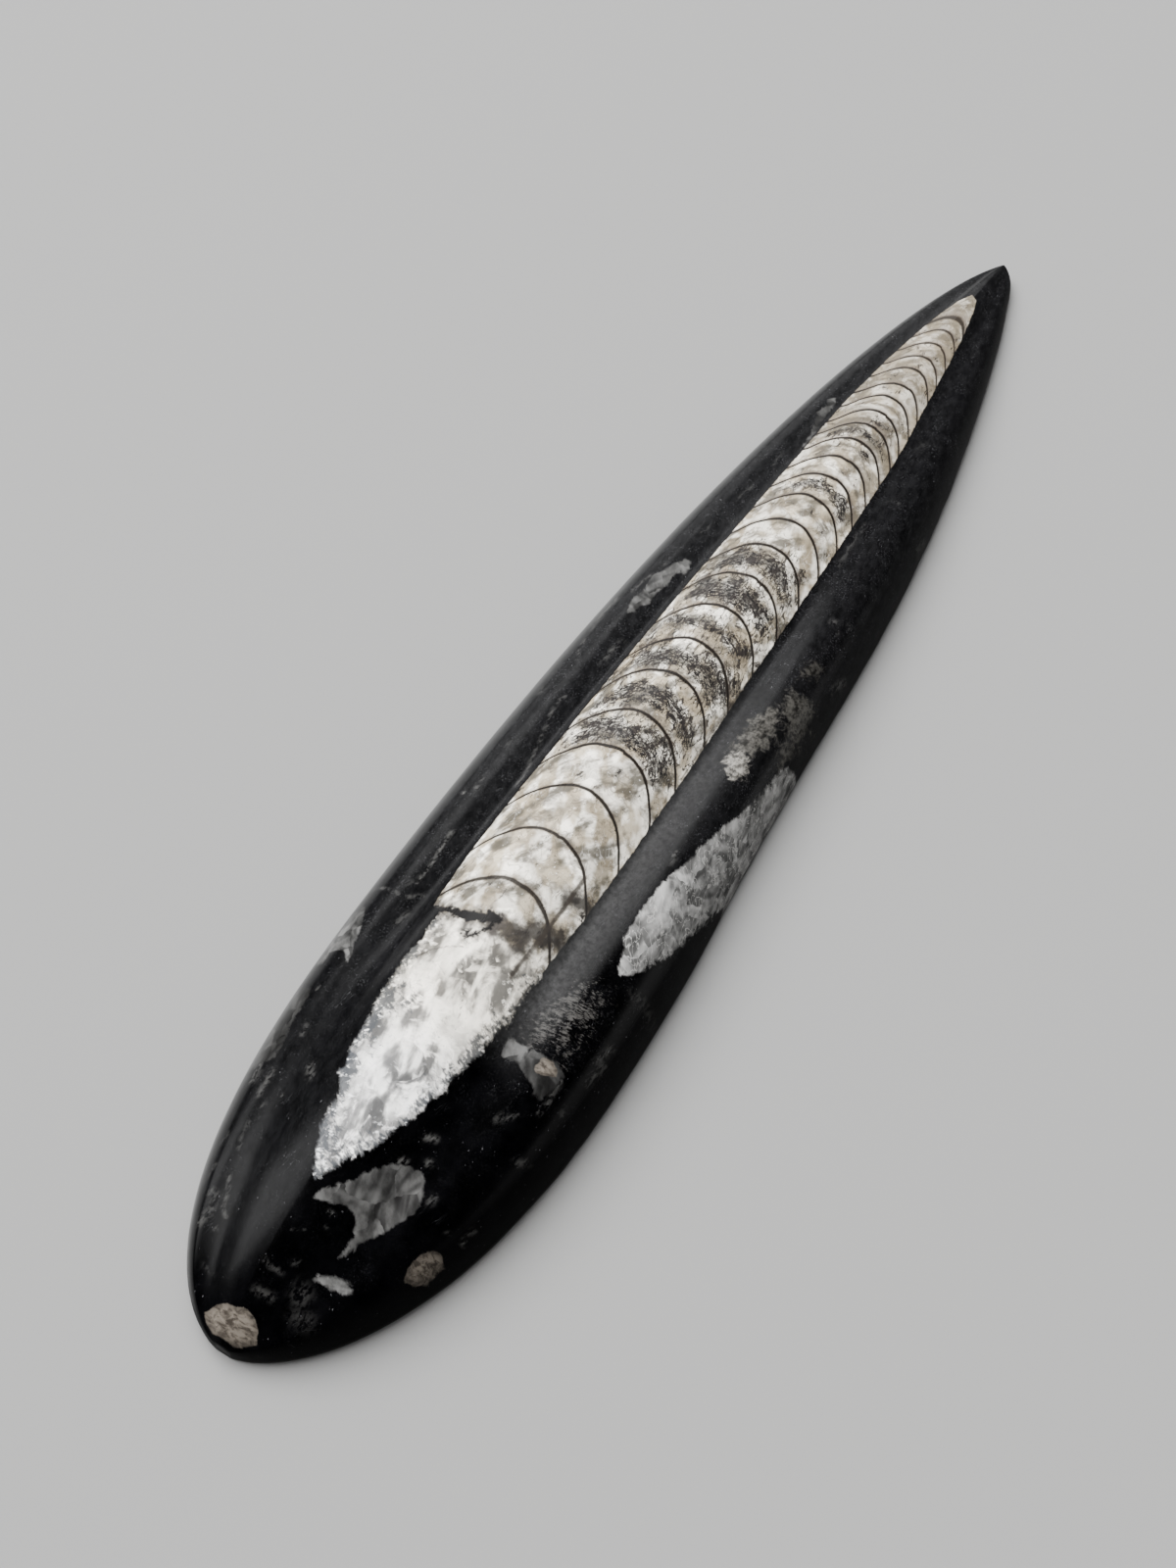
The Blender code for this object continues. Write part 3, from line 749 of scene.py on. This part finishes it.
def noise(where, size, detail=3.0, roughness=0.55, distortion=0.0):
    """Cloudy noise, about 0 to 1, whose features are `size` millimetres across."""
    node = TREE.nodes.new("ShaderNodeTexNoise")
    TREE.links.new(where, node.inputs["Vector"])
    node.inputs["Scale"].default_value = 1 / size
    node.inputs["Detail"].default_value = detail
    node.inputs["Roughness"].default_value = roughness
    node.inputs["Distortion"].default_value = distortion
    return Number(node.outputs["Fac"])


def cells(where, size):
    """A random colour for each of the irregular cells, which are about `size` millimetres across."""
    node = TREE.nodes.new("ShaderNodeTexVoronoi")
    TREE.links.new(where, node.inputs["Vector"])
    node.inputs["Scale"].default_value = 1 / size
    return Number(node.outputs["Color"])


def follow(stretch, shift=0.0):
    """Position in millimetres with the curve of the chamber walls taken out of it."""
    across = TREE.nodes.new("ShaderNodeSeparateXYZ")
    TREE.links.new(place(), across.inputs[0])
    node = TREE.nodes.new("ShaderNodeCombineXYZ")
    feed(node.inputs[0], field("arc") * (1 / stretch[0]) + shift)
    feed(node.inputs[1], Number(across.outputs[1]) * (1 / stretch[1]))
    return node.outputs[0]


def vector_node(operation, first):
    node = TREE.nodes.new("ShaderNodeVectorMath")
    node.operation = operation
    TREE.links.new(first, node.inputs[0])
    return node


def crystals(domain, stretch, size, detail, shift=0.0):
    """Streaks whose direction changes from one crystal of `domain` millimetres to the next, and a random
    value for each crystal."""
    where = place(shift=shift)
    wander = TREE.nodes.new("ShaderNodeTexNoise")
    wander.inputs["Scale"].default_value = 1 / domain
    wander.inputs["Detail"].default_value = 4.0
    TREE.links.new(where, wander.inputs["Vector"])
    push = vector_node("SCALE", wander.outputs["Color"])
    push.inputs["Scale"].default_value = 0.9 * domain
    bent = vector_node("ADD", where)
    TREE.links.new(push.outputs[0], bent.inputs[1])
    own = cells(bent.outputs[0], domain)
    turned = TREE.nodes.new("ShaderNodeVectorRotate")
    turned.rotation_type = "Z_AXIS"
    feed(turned.inputs["Angle"], own * 9.0)
    TREE.links.new(where, turned.inputs["Vector"])
    scaled = vector_node("MULTIPLY", turned.outputs[0])
    scaled.inputs[1].default_value = (1 / stretch, 1, 1)
    return noise(scaled.outputs[0], size, detail, 0.6, 0.3), own


def lines(where, size, width, detail, roughness, distortion):
    """Thin wandering lines; `width` may vary over the surface and thickens them where it is large."""
    away = calculate("ABSOLUTE", noise(where, size, detail, roughness, distortion) - 0.5)
    return ramp(calculate("SUBTRACT", width, away), -0.007, 0.012)


def paint_chambers():
    """Cream calcite of the chambers: soft clouds, white patches and a net of thin brownish lines."""
    plain = place()
    pale = ramp(noise(place(shift=0.4), 6.0, 2.0, 0.4), 0.38, 0.62)
    cream = blend(pale, (0.30, 0.25, 0.175), (0.50, 0.44, 0.335))
    white = ramp(noise(place((1.4, 0.9), 30, shift=0.8), 3.0, 2.0, 0.45), 0.44, 0.60)
    cream = blend(white * 0.90, cream, (1.0, 0.955, 0.85))
    streaks, own = crystals(3.6, 2.6, 1.4, 3.0)
    cream = blend(ramp(streaks, 0.48, 0.70, 0.0, 0.62), cream, (0.12, 0.102, 0.074))
    cream = blend(1.0, cream, ramp(own, 0.2, 0.8, 0.70, 1.08), "MULTIPLY")
    smoke = ramp(noise(place((1.7, 0.9), -35), 3.0, 4.0, 0.56), 0.47, 0.64)
    cream = blend(smoke * 0.92, cream, (0.062, 0.056, 0.043))
    net_width = ramp(noise(place(shift=0.6), 4.0, 2.0), 0.36, 0.60, -0.004, 0.020)
    cream = blend(lines(plain, 2.6, net_width, 3.0, 0.5, 0.8) * 0.55, cream, (0.080, 0.064, 0.050))
    shine_width = ramp(noise(place(shift=0.2), 5.0, 2.0), 0.42, 0.60, -0.01, 0.010)
    shine = lines(place((1.8, 0.8), 28), 1.6, shine_width, 2.0, 0.5, 0.2)
    cream = blend(shine * 0.30, cream, (0.98, 0.96, 0.92))
    grain = noise(plain, 0.32, 3.0, 0.6)
    cream = blend(ramp(grain, 0.52, 0.72, 0.0, 0.20), cream, (0.13, 0.108, 0.086))
    sparks = ramp(noise(place(shift=2.0), 0.45, 3.0, 0.6), 0.62, 0.70)
    glint = sparks * ramp(noise(place(shift=1.0), 2.4, 3.0), 0.44, 0.60)
    cream = blend(glint * 0.5, cream, (0.98, 0.97, 0.95))
    broken = ramp(noise(follow((0.9, 1.5)), 1.3, 5.0, 0.62, 0.5), 0.38, 0.58)
    cloud = field("cloud") * ramp(field("count"), 8.0, 13.0, 1.2, 1.9) * broken
    cream = blend(lesser(cloud, 0.92), cream, (0.066, 0.058, 0.046))
    return blend(ramp(field("count"), 7.0, 20.0, 0.0, 0.62), cream, (0.125, 0.104, 0.074))


def paint_open_end():
    """White crystals of the open chamber: a bright soft core and a broken glassy border."""
    ragged = noise(place((1.5, 0.9), 13, shift=0.7), 2.2, 3.0, 0.55) - 0.5
    depth = field("shell") + ragged * 4.0
    core = ramp(depth, 0.6, 4.2)
    length_wise = noise(place((2.4, 1.1), 13), 2.7, 3.0, 0.50, 0.3)
    streaks, own = crystals(5.2, 2.4, 1.8, 3.0)
    fine, grain_own = crystals(1.7, 2.2, 0.8, 3.0, shift=0.5)
    white = blend(ramp(length_wise, 0.38, 0.64, 1.0, 0.0), (0.118, 0.117, 0.116), (1.0, 0.985, 0.955))
    soft = ramp(noise(place(shift=1.3), 4.4, 2.0, 0.45), 0.38, 0.58, 0.85, 0.0)
    white = blend(soft, white, (0.125, 0.124, 0.124))
    white = blend(ramp(streaks, 0.47, 0.72, 0.0, 0.72), white, (0.10, 0.10, 0.10))
    white = blend(ramp(streaks, 0.34, 0.48, 0.80, 0.0), white, (0.99, 0.975, 0.95))
    white = blend(1.0, white, ramp(own, 0.25, 0.75, 0.66, 1.05), "MULTIPLY")
    white = blend(core * ramp(length_wise, 0.44, 0.56, 0.60, 0.0), white, (1.0, 0.99, 0.965))
    white = blend(ramp(fine, 0.54, 0.70, 0.0, 0.36), white, (0.12, 0.118, 0.115))
    shards = noise(place((0.6, 1.5), -20), 0.85, 5.0, 0.60, 0.3)
    border = (1 - ramp(depth, -0.2, 2.6)) * 0.75 + field("glassy")
    glass = ramp(border + (shards - 0.5) * 3.2 + (grain_own - 0.5) * 0.7, 0.35, 1.05)
    white = blend(glass * 0.92, white, (0.050, 0.054, 0.060))
    # Painted glints: bright crystal facets outside the white core.
    facet_glints = ramp(noise(place((1.0, 1.6), 25), 0.8, 4.0, 0.6), 0.55, 0.68) * (1 - core)
    white = blend(facet_glints * 0.80, white, (0.90, 0.905, 0.91))
    cloud = field("cloud") * 1.1 * ramp(noise(place(), 1.6, 4.0, 0.55), 0.38, 0.60)
    white = blend(lesser(cloud, 0.85), white, (0.150, 0.135, 0.120))
    return blend(field("warm"), white, blend(1.0, white, (1.0, 0.955, 0.86), "MULTIPLY"))


def paint_dendrites(calcite):
    """Black feathery growths along the middle of the chambers, with fine threads running out of them."""
    density = field("dendrite")
    patchy = (noise(follow((1, 1.5)), 1.7, 3.0, 0.55) - 0.5) * 3.4
    reach = greater(density * 1.25 + patchy * ramp(density, 0.02, 0.4) + field("thready") * 0.35, 0.0)
    smudge = noise(follow((0.8, 1.4)), 1.0, 5.0, 0.6) - 0.5
    halo = ramp(density + smudge * 2.2, 0.10, 1.0, 0.0, 0.66)
    calcite = blend(halo, calcite, (0.080, 0.077, 0.073))
    coarse = lines(follow((0.75, 1.5), 3.0), 1.5, lesser(reach * 0.066 - 0.008, 0.046), 3.0, 0.56, 1.3)
    feather = lines(follow((0.9, 1.3), 7.0), 0.95, lesser(reach * 0.064 - 0.007, 0.036), 3.0, 0.58, 1.2)
    tangle = lines(follow((1.1, 1.0), 17.0), 0.70, lesser(reach * 0.056 - 0.007, 0.028), 2.0, 0.58, 1.4)
    for strands in (tangle, feather, coarse):
        calcite = blend(strands * 0.97, calcite, (0.010, 0.009, 0.009))
    near = density * 0.9 + field("thready") + (noise(place(shift=0.9), 2.4, 2.0) - 0.5) * 2.4
    wide = ramp(near, -0.10, 0.70, -0.012, 0.036)
    across = lines(follow((2.2, 0.8), 11.0), 1.3, wide, 3.0, 0.58, 0.7)
    return blend(across * field("chambered") * 0.92, calcite, (0.020, 0.017, 0.016))


def paint_walls(calcite):
    """Dark chamber walls, cracks and mineral veins over the calcite."""
    count, pitch = field("count"), field("pitch")
    fine = noise(place(), 0.45, 5.0, 0.7) - 0.5
    broad = noise(place(), 1.4, 5.0, 0.65) - 0.5
    off_wall = calculate("PINGPONG", count, 0.5) * pitch + fine * 0.14
    present = field("chambered") * ramp(count, -0.4, -0.1)
    weight = ramp(count, 0.0, 3.0, 0.94, 1.0) * ramp(count, 16.0, 23.0, 1.0, 0.85)
    beyond = calculate("FRACT", count) * pitch
    shade = present * ramp(count, 5.0, 11.0, 0.40, 0.72)
    calcite = blend((1 - ramp(beyond, 0.1, 1.3)) * shade, calcite, (0.105, 0.087, 0.072))
    calcite = blend((1 - ramp(off_wall, 0.10, 0.60)) * present * 0.45, calcite, (0.08, 0.064, 0.052))
    wall = (1 - ramp(off_wall, 0.17, 0.42)) * present * weight
    calcite = blend(wall, calcite, (0.011, 0.009, 0.0075))
    brown = ramp(field("brown") + broad * 4.4, -2.0, 0.2, 0.0, 0.93)
    calcite = blend(brown, calcite, (0.0240, 0.0215, 0.0200))
    crack = ramp(field("crack") + fine * 0.30, -0.14, 0.12, 0.0, 0.86)
    calcite = blend(crack, calcite, (0.032, 0.027, 0.023))
    smudge = ramp(field("black") + broad * 4.5, -1.6, 0.4, 0.0, 0.85)
    calcite = blend(smudge, calcite, (0.055, 0.049, 0.045))
    black = ramp(field("black") + broad * 2.6 + fine, -0.35, 0.15)
    return blend(black, calcite, (0.010, 0.0095, 0.0095))


def paint_matrix():
    """Black limestone with a fine pale grain, dashes of broken shell and a cloud of short fibres; its lighter
    grey on the right flute and the flanks is painted sheen.
    """
    plain = place()
    cloudy = ramp(noise(plain, 4.0, 4.0, 0.6), 0.35, 0.7)
    dark = blend(cloudy, (0.0002, 0.0002, 0.0003), (0.0011, 0.0011, 0.0014))
    mottle = ramp(noise(plain, 0.8, 6.0, 0.70), 0.34, 0.64, 0.45, 0.95)
    # The right flute is painted a lighter grey as a painted sheen; its satin roughness and scoring are real.
    dark = blend(field("satin") * mottle, dark, (0.030, 0.030, 0.0300))
    # The flanks' grey is a painted sheen, stronger on the left side.
    sheen_mottle = ramp(noise(place((1.6, 0.9), 12), 1.1, 6.0, 0.72), 0.34, 0.68, 0.35, 1.15)
    dark = blend(field("dusty") * sheen_mottle, dark, (0.0098, 0.0098, 0.0104))
    grain = ramp(noise(plain, 0.30, 3.0, 0.6), 0.52, 0.72) * ramp(noise(plain, 2.6, 3.0), 0.38, 0.66)
    # The pale grain shows more strongly where sheen is painted on the flute and flanks, and past the open
    # chamber.
    sheen_and_grain = field("satin") * 0.5 + field("dusty") * 0.55 + field("warm") * 0.30 + 0.08
    dark = blend(grain * sheen_and_grain, dark, (0.030, 0.030, 0.032))
    speck = ramp(noise(place((1.6, 0.8), 15), 0.42, 2.0, 0.5), 0.70, 0.78)
    speck = speck * ramp(noise(place(shift=0.3), 6.0, 2.0), 0.46, 0.60)
    dark = blend(speck * 0.8, dark, (0.085, 0.085, 0.09))
    scratch_width = ramp(noise(place(shift=0.7), 5.0, 2.0), 0.50, 0.72, -0.012, 0.004)
    scratch = lines(place((3.2, 0.7), -14), 1.9, scratch_width, 3.0, 0.5, 0.2)
    dark = blend(scratch * 0.45, dark, (0.07, 0.07, 0.074))
    hairs = noise(place((0.6, 1.5), 8), 0.55, 5.0, 0.68, 0.3)
    clumps = (noise(place((1.2, 0.9), 20, shift=0.5), 1.8, 3.0, 0.6) - 0.5) * 0.42
    fibre = ramp(hairs + clumps + field("fibre") * 0.20, 0.62, 0.84) * ramp(field("fibre"), 0.05, 0.45)
    dark = blend(fibre * 0.50, dark, (0.088, 0.084, 0.079))
    broken = ramp(noise(place((1.6, 0.9), -8), 0.7, 5.0, 0.66), 0.42, 0.60)
    return blend(lesser(field("wisp") * broken * 1.1, 1.0), dark, (0.20, 0.197, 0.188))


def crystal_border(size, turn):
    """An angular, broken offset in millimetres for the border of a crystal patch."""
    shards = cells(place((0.7, 1.6), turn), size)
    return (shards - 0.5) * 0.5 + (noise(place((0.9, 1.2), turn), 1.9, 6.0, 0.68, 0.4) - 0.5) * 2.8


def paint_rubble(dark):
    """Patches of finely broken brownish shell, eaten into by the black matrix."""
    bits = noise(place((1.2, 0.9), -30, shift=0.6), 1.3, 6.0, 0.66, 0.5)
    spread = ramp(field("rubble") + (bits - 0.5) * 6.0, -0.60, 0.60)
    tone = field("rubble_tone") * ramp(noise(place(shift=1.1), 0.8, 5.0, 0.66), 0.36, 0.64, 0.30, 1.70)
    return blend(spread, dark, tinted(tone, 0.95, 0.86))


def paint_fossils(dark):
    """Grey and tan fossils with broken edges, the grey ones each with its own brightness."""
    brightness = field("grey_tone")
    streaks, own = crystals(5.0, 3.0, 2.4, 2.0, shift=0.3)
    blotch = noise(place((1.4, 0.9), 30, shift=0.2), 2.8, 5.0, 0.62)
    tone = brightness * ramp(blotch, 0.36, 0.64, 0.24, 0.52) * ramp(streaks, 0.38, 0.64, 1.45, 0.42)
    tone = tone * ramp(own, 0.25, 0.75, 0.84, 1.16)
    rims = lines(place((1.8, 0.8), 34), 2.2, ramp(brightness, 0.05, 0.30, -0.01, 0.010), 3.0, 0.55, 0.6)
    rims = rims * ramp(brightness, 0.10, 0.45, 0.25, 0.65)
    grey = blend(rims, tinted(tone, 0.99, 0.965), (0.40, 0.395, 0.38))
    # Painted glints on the grey fossils' crystal facets.
    fossil_glints = ramp(noise(place((1.8, 0.9), 35), 1.3, 4.0, 0.6), 0.60, 0.70) * ramp(brightness, 0.08, 0.28)
    grey = blend(fossil_glints * 0.5, grey, (0.42, 0.41, 0.395))
    ragged = crystal_border(1.0, -35)
    dark = blend(ramp(field("grey") + ragged * 0.55, -0.22, 0.22), dark, grey)
    wavy = noise(place((0.6, 1.3), 8), 1.1, 5.0, 0.62, 0.6)
    tan = blend(ramp(wavy, 0.34, 0.64), (0.030, 0.0250, 0.0205), (0.128, 0.111, 0.092))
    tan = blend(ramp(field("tan"), 0.0, 0.9, 0.55, 0.0), tan, (0.030, 0.026, 0.022))
    return blend(ramp(field("tan") + ragged * 0.25, -0.08, 0.12), dark, tan)


def paint_stone():
    chambered = field("chambered")
    calcite = blend(chambered, paint_open_end(), paint_chambers())
    calcite = paint_walls(paint_dendrites(calcite))
    ground = paint_fossils(paint_rubble(paint_matrix()))
    amount = ramp(chambered, 0.0, 1.0, 0.75, 0.16)
    softness = ramp(chambered, 0.0, 1.0, 0.40, 0.09)
    edge = ramp(field("shell") + crystal_border(0.7, -35) * amount, -1 * softness, softness)
    surface = blend(edge, ground, calcite)
    sawn = blend(noise(place((6.0, 0.35)), 1.0, 3.0), (0.018, 0.018, 0.018), (0.045, 0.044, 0.042))
    feed(SHADER.inputs["Base Color"], blend(field("under"), surface, sawn))

    smears = noise(place((5.0, 0.8)), 1.6, 4.0, 0.6)
    gloss = ramp(smears, 0.3, 0.7, 0.19, 0.27) + edge * 0.06 + field("satin") * 0.24
    roughness = greater(greater(gloss, field("band") * 0.42), field("under") * 0.62)
    feed(SHADER.inputs["Roughness"], roughness)
    pits = ramp(noise(place(), 0.22, 2.0), 0.68, 0.80)
    scored = field("satin") * 0.010 + field("under") * 0.05 + 0.0016
    bump = TREE.nodes.new("ShaderNodeBump")
    bump.inputs["Strength"].default_value = 1.0
    bump.inputs["Distance"].default_value = MM
    feed(bump.inputs["Height"], pits * -0.004 + noise(place((3.0, 0.6)), 0.9, 3.0) * scored)
    TREE.links.new(bump.outputs["Normal"], SHADER.inputs["Normal"])
    SHADER.inputs["IOR"].default_value = 1.5
    feed(SHADER.inputs["Specular IOR Level"], ramp(field("band"), 0.0, 0.8, 0.22, 0.015))


def make_stone():
    rings = polish_relief(stone_rings())
    mesh = build_mesh(rings)
    bake_map(mesh, rings)
    write_fields(mesh, rings)
    stone = bpy.data.objects.new("polished_stone", mesh)
    bpy.context.scene.collection.objects.link(stone)
    paint_stone()
    mesh.materials.append(STONE)
    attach(stone, "root")
    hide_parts("orthoceras_stone")


def make_floor():
    """A plain pale round floor."""
    turns = [2 * math.pi * k / FLOOR_SIDES for k in range(FLOOR_SIDES)]
    corners = [(FLOOR_RADIUS * math.cos(turn), FLOOR_RADIUS * math.sin(turn), 0) for turn in turns]
    mesh = bpy.data.meshes.new("floor")
    mesh.from_pydata(corners, [], [tuple(range(FLOOR_SIDES))])
    floor = bpy.data.objects.new("floor", mesh)
    bpy.context.scene.collection.objects.link(floor)
    paper = bpy.data.materials.new("floor")
    paper.use_nodes = True
    shader = paper.node_tree.nodes["Principled BSDF"]
    shader.inputs["Base Color"].default_value = FLOOR_COLOUR
    shader.inputs["Roughness"].default_value = 0.8
    shader.inputs["Specular IOR Level"].default_value = 0.2
    mesh.materials.append(paper)


def direction(azimuth, elevation):
    """A vector of length 1 at these angles in degrees."""
    turn, lift = math.radians(azimuth), math.radians(elevation)
    return Vector((math.cos(lift) * math.cos(turn), math.cos(lift) * math.sin(turn), math.sin(lift)))


def facing(lamp, back, mirrored):
    """An object for a light that shines against the direction `back`; polished faces may mirror it."""
    thing = bpy.data.objects.new(lamp.name, lamp)
    bpy.context.scene.collection.objects.link(thing)
    thing.rotation_euler = (-back).to_track_quat("-Z", "Y").to_euler()
    thing.visible_glossy = mirrored
    return thing


def make_light():
    """Soft light from above and behind, with a few dim boxes for the polished stone to mirror."""
    for name, azimuth, elevation, distance, size, power, mirrored in SOFTBOXES:
        lamp = bpy.data.lights.new(name, "AREA")
        lamp.shape = "RECTANGLE"
        lamp.size, lamp.size_y = size
        lamp.energy = power
        where = direction(azimuth, elevation) * distance
        facing(lamp, where, mirrored).location = where
    lamp = bpy.data.lights.new("daylight", "SUN")
    lamp.energy = DAYLIGHT_POWER
    lamp.angle = math.radians(DAYLIGHT_SPREAD)
    facing(lamp, direction(*DAYLIGHT), False)
    world = bpy.data.worlds.new("studio")
    bpy.context.scene.world = world
    world.use_nodes = True
    sky = world.node_tree.nodes["Background"]
    sky.inputs["Color"].default_value = (1.0, 1.0, 1.0, 1.0)
    sky.inputs["Strength"].default_value = SKY_STRENGTH
    world.cycles_visibility.glossy = False


def make_camera():
    """A phone-like view from above the blunt end, turned so that the stone runs up to the right."""
    forward = direction(*GAZE)
    turn = math.radians(GAZE[0])
    right = Vector((math.sin(turn), -math.cos(turn), 0))
    up = right.cross(forward)
    lens = bpy.data.cameras.new("camera")
    lens.lens = LENS
    lens.sensor_width = SENSOR
    lens.clip_start = 0.01
    camera = bpy.data.objects.new("camera", lens)
    bpy.context.scene.collection.objects.link(camera)
    turned = Matrix((right, up, -forward)).transposed().to_4x4()
    camera.matrix_world = Matrix.Translation(Vector(EYE)) @ turned
    bpy.context.scene.camera = camera


make_stone()
make_floor()
make_light()
make_camera()
